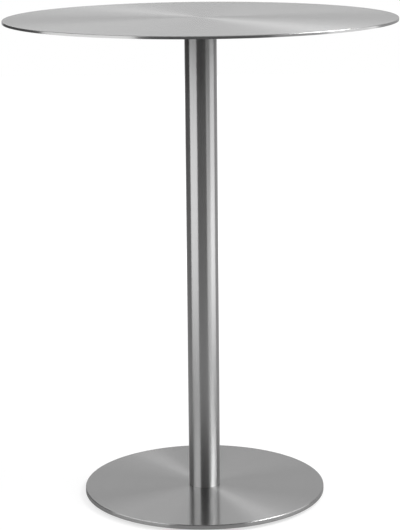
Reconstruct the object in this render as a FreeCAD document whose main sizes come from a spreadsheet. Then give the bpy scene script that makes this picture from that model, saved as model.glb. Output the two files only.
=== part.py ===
"""Round bar table: a thin steel-skinned top on a tube column with a weighted disc base.

Millimetres, +Z up, origin on the floor under the middle of the column, front towards -Y.
"""
import FreeCAD
import Part
import Sketcher
import math
import os

SIZES = {
    # The whole table
    "total_height": 1070.0,
    "cut_overrun": 5.0,
    # Top: a sheet lid with a turned-down rim, filled by a board
    "top_diameter": 850.0,
    "top_thickness": 6.0,
    "top_sheet": 1.2,
    "top_inner_bend": 0.6,
    "board_rim_gap": 0.4,
    "board_edge_chamfer": 1.0,
    # Column
    "column_diameter": 70.0,
    "column_wall": 2.0,
    "column_end_chamfer": 0.3,
    "spigot_fit": 0.15,
    # Base: a sheet lid with a turned-down rim over a weight plate
    "base_diameter": 540.0,
    "base_rim_height": 10.0,
    "cover_sheet": 1.2,
    "cover_inner_bend": 0.8,
    "cover_hole_gap": 0.5,
    "ballast_rim_gap": 0.4,
    "ballast_edge_chamfer": 1.2,
    # Boss that centres the foot of the column, and its screws
    "boss_height": 32.0,
    "boss_lead_chamfer": 2.0,
    "boss_thread_floor": 6.0,
    "screw_diameter": 8.0,
    "screw_head_diameter": 15.0,
    "screw_head_sink": 0.3,
    "screw_reach": 14.0,
    "screw_hole_gap": 0.1,
    "screw_hole_spare": 2.0,
    "screw_socket_width": 5.0,
    "screw_socket_depth": 2.4,
    # Tie rod and its fixings
    "rod_diameter": 12.0,
    "rod_end_chamfer": 1.0,
    "rod_thread_gap": 0.1,
    "rod_hole_gap": 0.5,
    "rod_tail": 3.0,
    "rod_end_gap": 2.0,
    "rod_washer_diameter": 37.0,
    "rod_washer_thickness": 3.0,
    "lock_washer_diameter": 21.0,
    "lock_washer_thickness": 3.0,
    "rod_nut_width": 18.0,
    "rod_nut_height": 10.5,
    # Spider: a turned hub and four folded arms
    "hub_overhang": 9.0,
    "hub_skirt": 4.0,
    "hub_edge_chamfer": 2.5,
    "hub_spigot_length": 25.0,
    "hub_recess_gap": 2.5,
    "spider_radius": 245.0,
    "arm_sheet": 3.0,
    "arm_root_width": 46.0,
    "arm_tip_width": 32.0,
    "arm_root_depth": 27.0,
    "arm_tip_depth": 15.0,
    "arm_bend_round": 2.5,
    # Studs that hold the spider to the top
    "stud_diameter": 6.0,
    "stud_hole_gap": 0.4,
    "stud_thread_gap": 0.1,
    "stud_end_chamfer": 0.6,
    "stud_hub_inset": 38.0,
    "stud_tip_inset": 26.0,
    "stud_tail": 2.0,
    "stud_washer_diameter": 14.0,
    "stud_washer_thickness": 1.6,
    "stud_nut_width": 10.0,
    "stud_nut_height": 6.0,
    # Levelling feet
    "foot_rim_inset": 45.0,
    "pad_diameter": 32.0,
    "pad_height": 3.6,
    "pad_edge_round": 0.8,
    "pad_floor": 1.4,
    "pad_lip": 0.8,
    "swivel_gap": 0.3,
    "foot_disc_diameter": 11.0,
    "foot_disc_thickness": 1.1,
    "foot_neck_diameter": 7.0,
    "foot_hex_width": 17.0,
    "foot_hex_height": 2.2,
    "foot_hex_lift": 0.3,
    "foot_hex_gap": 0.4,
    "foot_thread_diameter": 10.0,
    "foot_thread_gap": 0.1,
    "foot_end_gap": 0.4,
    "foot_end_chamfer": 0.8,
}

ARM_ANGLES = {"right": 0, "back": 90, "left": 180, "front": 270}
FOOT_ANGLES = {"back_right": 45, "back_left": 135, "front_left": 225, "front_right": 315}
BOSS_SCREWS = 4
LOCK_WASHER_TURN = 350
NUT_CHAMFER_ANGLE = 30
COUNTERSINK_ANGLE = 90
HEX_CORNER_SHARE = 1 / math.sqrt(3)
SAME = 1e-4


class Length:
    """A length in millimetres together with the sheet expression that gives it."""

    def __init__(self, value, text):
        self.value = value
        self.text = text

    def __add__(self, other):
        return Length(self.value + other.value, f"({self.text} + {other.text})")

    def __sub__(self, other):
        return Length(self.value - other.value, f"({self.text} - {other.text})")

    def __mul__(self, share):
        return Length(self.value * share, f"({self.text} * {share!r})")

    def __truediv__(self, share):
        return Length(self.value / share, f"({self.text} / {share!r})")

    def __neg__(self):
        return Length(-self.value, f"(-{self.text})")


class Sizes:
    """The sheet's cells as lengths, one attribute for each alias."""

    def __init__(self, sheet, names):
        for name in names:
            setattr(self, name, Length(float(sheet.get(name)), f"{sheet.Name}.{name}"))


def size_sheet():
    """Put the driving sizes into a sheet, each under an alias."""
    sheet = doc.addObject("Spreadsheet::Sheet", "Sizes")
    for row, (name, value) in enumerate(SIZES.items(), start=1):
        sheet.set(f"A{row}", name)
        sheet.set(f"B{row}", str(value))
        sheet.setAlias(f"B{row}", name)
    doc.recompute()
    return sheet


doc = FreeCAD.newDocument("bar_table")
size = Sizes(size_sheet(), SIZES)
ZERO = Length(0.0, "0")

# Levels that several pieces share
hex_under = size.pad_height + size.foot_hex_lift
base_under = hex_under + size.foot_hex_height + size.foot_hex_gap
base_top = base_under + size.base_rim_height
ballast_top = base_top - size.cover_sheet
boss_top = ballast_top + size.boss_height
top_under = size.total_height - size.top_thickness
skin_under = size.total_height - size.top_sheet
hub_height = size.arm_root_depth + size.hub_skirt
column_top = top_under - hub_height
rod_bottom = ballast_top + size.boss_thread_floor
washer_top = size.rod_washer_thickness + size.lock_washer_thickness
rod_stack = washer_top + size.rod_nut_height + size.rod_tail
recess_floor = top_under - rod_stack - size.rod_end_gap
rod_top = recess_floor + rod_stack

# Radii that several pieces share
column_radius = size.column_diameter / 2
spigot_radius = column_radius - size.column_wall - size.spigot_fit
hub_radius = column_radius + size.hub_overhang
rod_radius = size.rod_diameter / 2
screw_radius = size.screw_diameter / 2
screw_circle = (rod_radius + spigot_radius) / 2
stud_radius = size.stud_diameter / 2
stud_circles = (hub_radius + size.stud_hub_inset, size.spider_radius - size.stud_tip_inset)
foot_circle = size.base_diameter / 2 - size.foot_rim_inset


def bind(item, **lengths):
    """Tie properties of an object to the sheet."""
    for name, length in lengths.items():
        item.setExpression(name, length.text)


def origin_item(body, role):
    """One of a body's own origin planes or axes."""
    return next(item for item in body.Origin.OriginFeatures if item.Role == role)


def new_body(label):
    body = doc.addObject("PartDesign::Body", label)
    body.Label = label
    return body


def new_sketch(body, name, role, lift=ZERO):
    """A sketch on an origin plane of its body, lifted along the plane's normal."""
    sketch = body.newObject("Sketcher::SketchObject", name)
    sketch.AttachmentSupport = (origin_item(body, role), [""])
    sketch.MapMode = "FlatFace"
    sketch.setExpression("AttachmentOffset.Base.z", lift.text)
    return sketch


def hold_point(sketch, geometry, vertex, x, y):
    """Hold a point of a sketch at x, y with dimensions from the sketch's origin."""
    for kind, length, axis in (("DistanceX", x, -2), ("DistanceY", y, -1)):
        if length is ZERO:
            sketch.addConstraint(Sketcher.Constraint("PointOnObject", geometry, vertex, axis))
            continue
        ends = (-1, 1, geometry, vertex) if length.value > 0 else (geometry, vertex, -1, 1)
        reach = length if length.value > 0 else -length
        index = sketch.addConstraint(Sketcher.Constraint(kind, *ends, reach.value))
        sketch.setExpression(f"Constraints[{index}]", reach.text)


def draw_polygon(sketch, points):
    """A closed outline of straight lines through points."""
    corners = [FreeCAD.Vector(x.value, y.value, 0) for x, y in points]
    count = len(points)
    for index in range(count):
        sketch.addGeometry(Part.LineSegment(corners[index], corners[(index + 1) % count]))
    for index, (x, y) in enumerate(points):
        sketch.addConstraint(Sketcher.Constraint("Coincident", index, 2, (index + 1) % count, 1))
        hold_point(sketch, index, 1, x, y)


def draw_circle(sketch, x, y, radius):
    centre = FreeCAD.Vector(x.value, y.value, 0)
    index = sketch.addGeometry(Part.Circle(centre, FreeCAD.Vector(0, 0, 1), radius.value))
    hold_point(sketch, index, 3, x, y)
    bound = sketch.addConstraint(Sketcher.Constraint("Radius", index, radius.value))
    sketch.setExpression(f"Constraints[{bound}]", radius.text)


def disc(radius, bottom, top):
    """Half profile of a solid disc."""
    return [(ZERO, bottom), (radius, bottom), (radius, top), (ZERO, top)]


def ring(inner, outer, bottom, top):
    """Half profile of a ring."""
    return [(inner, bottom), (outer, bottom), (outer, top), (inner, top)]


def turned(label, profile, angle=360):
    """A body turned about the upright axis from a half profile of radius and height."""
    body = new_body(label)
    sketch = new_sketch(body, f"{label}_profile", "XZ_Plane")
    draw_polygon(sketch, profile)
    turn = body.newObject("PartDesign::Revolution", f"{label}_turn")
    turn.Profile = sketch
    turn.ReferenceAxis = (sketch, ["V_Axis"])
    turn.Angle = angle
    doc.recompute()
    return body


def groove(body, name, profile):
    """Cut a half profile out of a body, all the way round."""
    sketch = new_sketch(body, f"{name}_profile", "XZ_Plane")
    draw_polygon(sketch, profile)
    cut = body.newObject("PartDesign::Groove", name)
    cut.Profile = sketch
    cut.ReferenceAxis = (sketch, ["V_Axis"])
    cut.Angle = 360


def rim_edges(body, radius, level):
    """Names of a body's round edges of one radius at one level."""
    edges = enumerate(body.Tip.Shape.Edges, start=1)
    circles = [(number, edge.Curve) for number, edge in edges if isinstance(edge.Curve, Part.Circle)]
    return [
        f"Edge{number}"
        for number, curve in circles
        if abs(curve.Radius - radius.value) < SAME and abs(curve.Center.z - level.value) < SAME
    ]


def dress_rims(body, kind, amount, *rims):
    """Fillet or chamfer round edges, each given as radius and level."""
    names = [name for radius, level in rims for name in rim_edges(body, radius, level)]
    base = body.Tip
    dress = body.newObject(f"PartDesign::{kind}", f"{body.Label}_{kind.lower()}")
    dress.Base = (base, names)
    bind(dress, **{"Radius" if kind == "Fillet" else "Size": amount})
    doc.recompute()


def pocket(body, name, sketch, depth, upwards=False):
    """Cut a sketch's outline out of a body, to a depth below or above the sketch."""
    before = body.Tip.Shape.Volume
    cut = body.newObject("PartDesign::Pocket", name)
    cut.Profile = sketch
    cut.Reversed = upwards
    bind(cut, Length=depth)
    doc.recompute()
    if body.Tip.Shape.Volume > before - SAME:
        raise RuntimeError(f"{name} cuts nothing")
    return cut


def repeat_round(body, name, feature, count):
    """Repeat a cut about the upright axis."""
    pattern = body.newObject("PartDesign::PolarPattern", name)
    pattern.Originals = [feature]
    pattern.Axis = (origin_item(body, "Z_Axis"), [""])
    pattern.Angle = 360
    pattern.Occurrences = count
    body.Tip = pattern
    doc.recompute()


def prism(body, name, kind, width, bottom, height):
    """Add or take away an upright hexagon, given its width across flats."""
    hexagon = body.newObject(f"PartDesign::{kind}Prism", name)
    hexagon.Polygon = 6
    bind(hexagon, Circumradius=width * HEX_CORNER_SHARE, Height=height)
    hexagon.setExpression("Placement.Base.z", bottom.text)
    doc.recompute()


def round_cut(body, name, radius, bottom, height):
    """Take away an upright cylinder on a body's axis."""
    cylinder = body.newObject("PartDesign::SubtractiveCylinder", name)
    bind(cylinder, Radius=radius, Height=height)
    cylinder.setExpression("Placement.Base.z", bottom.text)
    doc.recompute()


def chamfer_hex(body, name, width, level, inward):
    """Turn the corners off a hexagon's face; inward is +1 at its lower face, -1 at its upper."""
    reach = width * HEX_CORNER_SHARE + size.cut_overrun
    rise = (reach - width / 2) * math.tan(math.radians(NUT_CHAMFER_ANGLE))
    profile = [(width / 2, level), (reach, level), (reach, level + rise * inward)]
    groove(body, name, profile)


def hex_nut(label, width, height, thread_radius, bottom):
    """A nut with both faces chamfered."""
    body = new_body(label)
    prism(body, f"{label}_hexagon", "Additive", width, bottom, height)
    round_cut(body, f"{label}_bore", thread_radius, bottom - size.cut_overrun, height + size.cut_overrun * 2)
    chamfer_hex(body, f"{label}_lower_chamfer", width, bottom, 1)
    chamfer_hex(body, f"{label}_upper_chamfer", width, bottom + height, -1)
    doc.recompute()
    return body


def polar(radius, degrees):
    """The place at a radius and an angle, as two lengths."""
    angle = math.radians(degrees)
    return radius * math.cos(angle), radius * math.sin(angle)


def place_at(item, radius, degrees):
    """Move an object off the axis to a radius and an angle."""
    x, y = polar(radius, degrees)
    item.setExpression("Placement.Base.x", x.text)
    item.setExpression("Placement.Base.y", y.text)


def group(label, pattern_piece, places):
    """Copies of one small piece, each at a radius and an angle, as one sub-part."""
    copies = []
    for number, (radius, degrees) in enumerate(places, start=1):
        copy = doc.addObject("App::Link", f"{label}_{number}")
        copy.LinkedObject = pattern_piece
        place_at(copy, radius, degrees)
        copies.append(copy)
    compound = doc.addObject("Part::Compound", label)
    compound.Label = label
    compound.Links = copies
    return compound


def sheet_lid(label, radius, sheet, bend, rim_bottom, top, hole=None):
    """A round sheet lid with a turned-down rim, open in the middle where a hole radius is given."""
    under = top - sheet
    middle = hole or ZERO
    profile = [
        (middle, top),
        (radius, top),
        (radius, rim_bottom),
        (radius - sheet, rim_bottom),
        (radius - sheet, under),
        (middle, under),
    ]
    lid = turned(label, profile)
    dress_rims(lid, "Fillet", bend + sheet, (radius, top))
    dress_rims(lid, "Fillet", bend, (radius - sheet, under))
    return lid


def top_skin():
    radius = size.top_diameter / 2
    return sheet_lid("top_skin", radius, size.top_sheet, size.top_inner_bend, top_under, size.total_height)


def top_board():
    """The board inside the skin, drilled for the studs."""
    radius = size.top_diameter / 2 - size.top_sheet - size.board_rim_gap
    board = turned("top_board", disc(radius, top_under, skin_under))
    dress_rims(board, "Chamfer", size.board_edge_chamfer, (radius, skin_under))
    sketch = new_sketch(board, "board_stud_holes", "XY_Plane", skin_under)
    for circle in stud_circles:
        draw_circle(sketch, circle, ZERO, stud_radius + size.stud_hole_gap)
    holes = pocket(board, "board_holes", sketch, skin_under - top_under + size.cut_overrun)
    repeat_round(board, "board_hole_pattern", holes, len(ARM_ANGLES))
    return board


def stud_places():
    return [(circle, degrees) for degrees in ARM_ANGLES.values() for circle in stud_circles]


def top_studs():
    """Studs welded under the skin, long enough for board, arm, washer and nut."""
    washer_face = top_under - size.arm_sheet
    bottom = washer_face - size.stud_washer_thickness - size.stud_nut_height - size.stud_tail
    stud = turned("stud", disc(stud_radius, bottom, skin_under))
    dress_rims(stud, "Chamfer", size.stud_end_chamfer, (stud_radius, bottom))
    return group("top_studs", stud, stud_places())


def stud_washers():
    top = top_under - size.arm_sheet
    inner = stud_radius + size.stud_hole_gap
    profile = ring(inner, size.stud_washer_diameter / 2, top - size.stud_washer_thickness, top)
    return group("stud_washers", turned("stud_washer", profile), stud_places())


def stud_nuts():
    bottom = top_under - size.arm_sheet - size.stud_washer_thickness - size.stud_nut_height
    thread = stud_radius + size.stud_thread_gap
    nut = hex_nut("stud_nut", size.stud_nut_width, size.stud_nut_height, thread, bottom)
    return group("stud_nuts", nut, stud_places())


def spider_hub():
    """Hub that sits on the tube's end, with a spigot below and a recess for the rod's nut above."""
    spigot_bottom = column_top - size.hub_spigot_length
    rod_hole = rod_radius + size.rod_hole_gap
    recess = size.rod_washer_diameter / 2 + size.hub_recess_gap
    profile = [
        (rod_hole, spigot_bottom),
        (spigot_radius, spigot_bottom),
        (spigot_radius, column_top),
        (hub_radius, column_top),
        (hub_radius, top_under),
        (recess, top_under),
        (recess, recess_floor),
        (rod_hole, recess_floor),
    ]
    hub = turned("spider_hub", profile)
    dress_rims(hub, "Chamfer", size.hub_edge_chamfer, (hub_radius, column_top), (spigot_radius, spigot_bottom))
    return hub


def channel(width, depth):
    """Section of a folded arm: a channel open downwards, its web against the board."""
    half = width / 2
    wall = half - size.arm_sheet
    foot = top_under - depth
    web = top_under - size.arm_sheet
    right = [(half, top_under), (half, foot), (wall, foot), (wall, web)]
    left = [(-across, level) for across, level in reversed(right)]
    return right + left


def fold_edges(arm):
    """Names of the two long upper edges of an arm, where the sheet is folded."""
    long_enough = (size.spider_radius - hub_radius).value / 2
    edges = enumerate(arm.Tip.Shape.Edges, start=1)
    return [
        f"Edge{number}"
        for number, edge in edges
        if edge.Length > long_enough
        and all(abs(vertex.Z - top_under.value) < SAME for vertex in edge.Vertexes)
    ]


def spider_arm(side, degrees):
    """One arm along +X, tapered in width and depth, its root cut to the hub's round side."""
    arm = new_body(f"spider_arm_{side}")
    root = new_sketch(arm, f"arm_root_{side}", "YZ_Plane", hub_radius - size.arm_root_width / 2)
    draw_polygon(root, channel(size.arm_root_width, size.arm_root_depth))
    tip = new_sketch(arm, f"arm_tip_{side}", "YZ_Plane", size.spider_radius)
    draw_polygon(tip, channel(size.arm_tip_width, size.arm_tip_depth))
    loft = arm.newObject("PartDesign::AdditiveLoft", f"arm_loft_{side}")
    loft.Profile = root
    loft.Sections = [tip]
    loft.Ruled = True
    doc.recompute()

    half = size.arm_tip_width / 2
    foot = top_under - size.arm_tip_depth
    end_wall = new_sketch(arm, f"arm_end_{side}", "YZ_Plane", size.spider_radius)
    draw_polygon(end_wall, [(-half, foot), (half, foot), (half, top_under), (-half, top_under)])
    pad = arm.newObject("PartDesign::Pad", f"arm_end_wall_{side}")
    pad.Profile = end_wall
    pad.Reversed = True
    bind(pad, Length=size.arm_sheet)
    doc.recompute()

    folds = (arm.Tip, fold_edges(arm))
    fold = arm.newObject("PartDesign::Fillet", f"arm_fold_{side}")
    fold.Base = folds
    bind(fold, Radius=size.arm_bend_round)
    doc.recompute()

    cut_height = hub_height + size.cut_overrun * 2
    round_cut(arm, f"arm_root_cut_{side}", hub_radius, column_top - size.cut_overrun, cut_height)
    holes = new_sketch(arm, f"arm_holes_{side}", "XY_Plane", top_under)
    for circle in stud_circles:
        draw_circle(holes, circle, ZERO, stud_radius + size.stud_hole_gap)
    pocket(arm, f"arm_drilling_{side}", holes, size.arm_sheet + size.cut_overrun)
    arm.Placement.Rotation = FreeCAD.Rotation(FreeCAD.Vector(0, 0, 1), degrees)
    return arm


def tie_rod():
    rod = turned("tie_rod", disc(rod_radius, rod_bottom, rod_top))
    dress_rims(rod, "Chamfer", size.rod_end_chamfer, (rod_radius, rod_bottom), (rod_radius, rod_top))
    return rod


def tie_rod_washer():
    inner = rod_radius + size.rod_hole_gap
    top = recess_floor + size.rod_washer_thickness
    return turned("tie_rod_washer", ring(inner, size.rod_washer_diameter / 2, recess_floor, top))


def tie_rod_lock_washer():
    """Split spring washer, pressed flat by the nut."""
    inner = rod_radius + size.rod_hole_gap
    bottom = recess_floor + size.rod_washer_thickness
    profile = ring(inner, size.lock_washer_diameter / 2, bottom, recess_floor + washer_top)
    return turned("tie_rod_lock_washer", profile, LOCK_WASHER_TURN)


def tie_rod_nut():
    thread = rod_radius + size.rod_thread_gap
    return hex_nut("tie_rod_nut", size.rod_nut_width, size.rod_nut_height, thread, recess_floor + washer_top)


def column_tube():
    tube = turned("column_tube", ring(column_radius - size.column_wall, column_radius, base_top, column_top))
    ends = ((column_radius, base_top), (column_radius, column_top))
    dress_rims(tube, "Chamfer", size.column_end_chamfer, *ends)
    return tube


def column_boss():
    """Plug on the weight plate, tapped for the rod above and for its screws below."""
    thread = rod_radius + size.rod_thread_gap
    profile = [
        (ZERO, ballast_top),
        (spigot_radius, ballast_top),
        (spigot_radius, boss_top),
        (thread, boss_top),
        (thread, rod_bottom),
        (ZERO, rod_bottom),
    ]
    boss = turned("column_boss", profile)
    dress_rims(boss, "Chamfer", size.boss_lead_chamfer, (spigot_radius, boss_top))
    sketch = new_sketch(boss, "boss_screw_hole", "XY_Plane", ballast_top)
    draw_circle(sketch, screw_circle, ZERO, screw_radius + size.screw_hole_gap)
    hole = pocket(boss, "boss_hole", sketch, size.screw_reach + size.screw_hole_spare, upwards=True)
    repeat_round(boss, "boss_hole_pattern", hole, BOSS_SCREWS)
    return boss


def boss_screws():
    """Countersunk screws with a hexagon socket, heads just below the plate's lower face."""
    head_radius = size.screw_head_diameter / 2
    bottom = base_under + size.screw_head_sink
    neck = bottom + head_radius - screw_radius
    top = ballast_top + size.screw_reach
    profile = [(ZERO, bottom), (head_radius, bottom), (screw_radius, neck), (screw_radius, top), (ZERO, top)]
    screw = turned("boss_screw", profile)
    prism(screw, "boss_screw_socket", "Subtractive", size.screw_socket_width, bottom, size.screw_socket_depth)
    places = [(screw_circle, number * 360 / BOSS_SCREWS) for number in range(BOSS_SCREWS)]
    return group("boss_screws", screw, places)


def base_cover():
    radius = size.base_diameter / 2
    hole = spigot_radius + size.cover_hole_gap
    return sheet_lid("base_cover", radius, size.cover_sheet, size.cover_inner_bend, base_under, base_top, hole)


def base_ballast():
    """Weight plate, countersunk for the boss screws and tapped for the feet."""
    radius = size.base_diameter / 2 - size.cover_sheet - size.ballast_rim_gap
    plate = turned("base_ballast", disc(radius, base_under, ballast_top))
    dress_rims(plate, "Chamfer", size.ballast_edge_chamfer, (radius, ballast_top))

    centre = new_sketch(plate, "ballast_screw_centre", "XY_Plane", base_under)
    draw_circle(centre, screw_circle, ZERO, screw_radius)
    doc.recompute()
    before = plate.Tip.Shape.Volume
    sink = plate.newObject("PartDesign::Hole", "ballast_countersink")
    sink.Profile = centre
    sink.Reversed = True
    sink.DepthType = "ThroughAll"
    sink.HoleCutType = "Countersink"
    sink.HoleCutCustomValues = True
    sink.HoleCutCountersinkAngle = COUNTERSINK_ANGLE
    head_room = size.screw_head_sink + size.screw_hole_gap
    bind(
        sink,
        Diameter=size.screw_diameter + size.screw_hole_gap * 2,
        HoleCutDiameter=size.screw_head_diameter + head_room * 2,
    )
    doc.recompute()
    if plate.Tip.Shape.Volume > before - SAME:
        raise RuntimeError("the countersink cuts nothing")
    repeat_round(plate, "ballast_countersinks", sink, BOSS_SCREWS)

    tapping = new_sketch(plate, "ballast_foot_hole", "XY_Plane", ballast_top)
    first_angle = min(FOOT_ANGLES.values())
    draw_circle(tapping, *polar(foot_circle, first_angle), size.foot_thread_diameter / 2 + size.foot_thread_gap)
    hole = pocket(plate, "ballast_tapping", tapping, ballast_top - base_under + size.cut_overrun)
    repeat_round(plate, "ballast_tappings", hole, len(FOOT_ANGLES))
    return plate


def foot_pad(side, degrees):
    """Swivel pad with an undercut socket for the screw's end disc."""
    radius = size.pad_diameter / 2
    mouth = size.foot_neck_diameter / 2 + size.swivel_gap
    socket = size.foot_disc_diameter / 2 + size.swivel_gap
    lip_under = size.pad_height - size.pad_lip
    profile = [
        (ZERO, ZERO),
        (radius, ZERO),
        (radius, size.pad_height),
        (mouth, size.pad_height),
        (mouth, lip_under),
        (socket, lip_under),
        (socket, size.pad_floor),
        (ZERO, size.pad_floor),
    ]
    pad = turned(f"foot_pad_{side}", profile)
    dress_rims(pad, "Fillet", size.pad_edge_round, (radius, ZERO), (radius, size.pad_height))
    place_at(pad, foot_circle, degrees)
    return pad


def foot_screw(side, degrees):
    """Levelling screw: end disc, neck, thin hexagon and thread."""
    disc_radius = size.foot_disc_diameter / 2
    neck = size.foot_neck_diameter / 2
    thread = size.foot_thread_diameter / 2
    disc_top = size.pad_floor + size.foot_disc_thickness
    top = ballast_top - size.foot_end_gap
    profile = [
        (ZERO, size.pad_floor),
        (disc_radius, size.pad_floor),
        (disc_radius, disc_top),
        (neck, disc_top),
        (neck, hex_under),
        (thread, hex_under),
        (thread, top),
        (ZERO, top),
    ]
    screw = turned(f"foot_screw_{side}", profile)
    dress_rims(screw, "Chamfer", size.foot_end_chamfer, (thread, top))
    prism(screw, f"foot_hex_{side}", "Additive", size.foot_hex_width, hex_under, size.foot_hex_height)
    place_at(screw, foot_circle, degrees)
    return screw


def all_pieces():
    arms = [spider_arm(side, degrees) for side, degrees in ARM_ANGLES.items()]
    pads = [foot_pad(side, degrees) for side, degrees in FOOT_ANGLES.items()]
    screws = [foot_screw(side, degrees) for side, degrees in FOOT_ANGLES.items()]
    top = [top_skin(), top_board(), top_studs(), stud_washers(), stud_nuts(), spider_hub()]
    rod = [tie_rod(), tie_rod_washer(), tie_rod_lock_washer(), tie_rod_nut()]
    base = [column_tube(), column_boss(), boss_screws(), base_cover(), base_ballast()]
    return top + arms + rod + base + pads + screws


def write_parts(pieces):
    """Check every object and shape, then write one file for each piece."""
    doc.recompute()
    failed = [item.Name for item in doc.Objects if {"Invalid", "Error"} & set(item.State)]
    if failed:
        raise RuntimeError(f"these objects failed: {failed}")
    for piece in pieces:
        if piece.Shape.isNull() or not piece.Shape.isValid():
            raise RuntimeError(f"{piece.Label} has no valid shape")
    os.makedirs("parts", exist_ok=True)
    for piece in pieces:
        piece.Shape.exportStep(f"parts/{piece.Label}.step")
        print(piece.Label, len(piece.Shape.Solids), round(piece.Shape.Volume))


write_parts(all_pieces())
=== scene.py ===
"""Round bar table in brushed steel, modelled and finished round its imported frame.

Metres, +Z up, front towards -Y, as in the frame.
"""
import math
from typing import NamedTuple

import bmesh
import bpy
from mathutils import Euler, Matrix, Vector


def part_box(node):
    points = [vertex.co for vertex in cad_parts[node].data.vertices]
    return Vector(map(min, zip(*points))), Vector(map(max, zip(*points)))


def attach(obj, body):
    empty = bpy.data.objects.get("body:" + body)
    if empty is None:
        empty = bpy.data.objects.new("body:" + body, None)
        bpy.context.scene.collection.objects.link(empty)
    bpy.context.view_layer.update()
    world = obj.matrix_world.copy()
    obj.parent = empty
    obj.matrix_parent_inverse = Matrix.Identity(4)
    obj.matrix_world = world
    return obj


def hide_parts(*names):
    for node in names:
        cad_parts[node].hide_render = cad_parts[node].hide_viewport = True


bl_info = {
    "name": "Bar table",
    "version": (1, 0, 0),
    "blender": (4, 5, 0),
    "location": "View3D > Sidebar > Bar table",
    "description": "Models a round brushed-steel bar table on its frame and sets it on a studio floor",
    "category": "Add Mesh",
}

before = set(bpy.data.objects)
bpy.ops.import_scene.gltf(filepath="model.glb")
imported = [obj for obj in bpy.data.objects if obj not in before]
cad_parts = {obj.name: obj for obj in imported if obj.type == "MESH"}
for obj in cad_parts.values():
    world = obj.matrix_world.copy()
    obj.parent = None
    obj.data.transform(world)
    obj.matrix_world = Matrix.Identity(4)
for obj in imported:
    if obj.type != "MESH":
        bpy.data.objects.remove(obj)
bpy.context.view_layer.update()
BODY = "table"
ARMS = 4
FOOT_SIDES = ("front_left", "front_right", "back_left", "back_right")
HEX_SIDES = 6
BROKEN_EDGE_STEPS = 2
ROUND_PROFILE = 0.5
ORIGIN = (0.0, 0.0, 0.0)
UP = (0.0, 0.0, 1.0)
WHITE = (1.0, 1.0, 1.0, 1.0)

# How near a point has to lie to a height, to a rim and to another point to count as on it
TOUCH = 1e-5
RIM_TOUCH = 1e-4
MERGE = 1e-6

# The least upward part of a flat's normal, and the angle up to which faces shade as one
FLAT = 0.999
SMOOTH_ANGLE = math.radians(32)

# Shares of a thread's pitch, and the turns that it starts early so that no point lies on a cut
THREAD_DEPTH_SHARE = 0.6
THREAD_ROOT_SHARE = 0.2
THREAD_CREST_SHARE = 0.15
THREAD_LEAD = 1.37

# Shares of a weld bead's radius: its necks, and how far its middle stands off the seam
WELD_NECK_SHARE = 0.86
WELD_PROUD_SHARE = 0.3


def round_reach(node):
    """Radius of a round node about the table's axis, no larger than its box on any side."""
    low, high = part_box(node)
    return min(-low.x, -low.y, high.x, high.y)


def reach(node):
    """How far a node goes to the right of the table's axis: a round node's true radius."""
    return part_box(node)[1].x


def level(node, end):
    """Height of a node's lower (0) or upper (1) end."""
    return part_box(node)[end].z


# Values that a user may change


def length(name, default, description):
    return bpy.props.FloatProperty(
        name=name,
        description=description,
        default=default,
        unit="LENGTH",
        precision=5,
    )


def angle(name, default, description):
    return bpy.props.FloatProperty(name=name, description=description, default=default, subtype="ANGLE")


def amount(name, default, description):
    return bpy.props.FloatProperty(name=name, description=description, default=default, precision=3)


def count(name, default, description):
    return bpy.props.IntProperty(name=name, description=description, default=default, min=2)


def colour(name, default, description):
    return bpy.props.FloatVectorProperty(name=name, description=description, default=default, subtype="COLOR")


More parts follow.
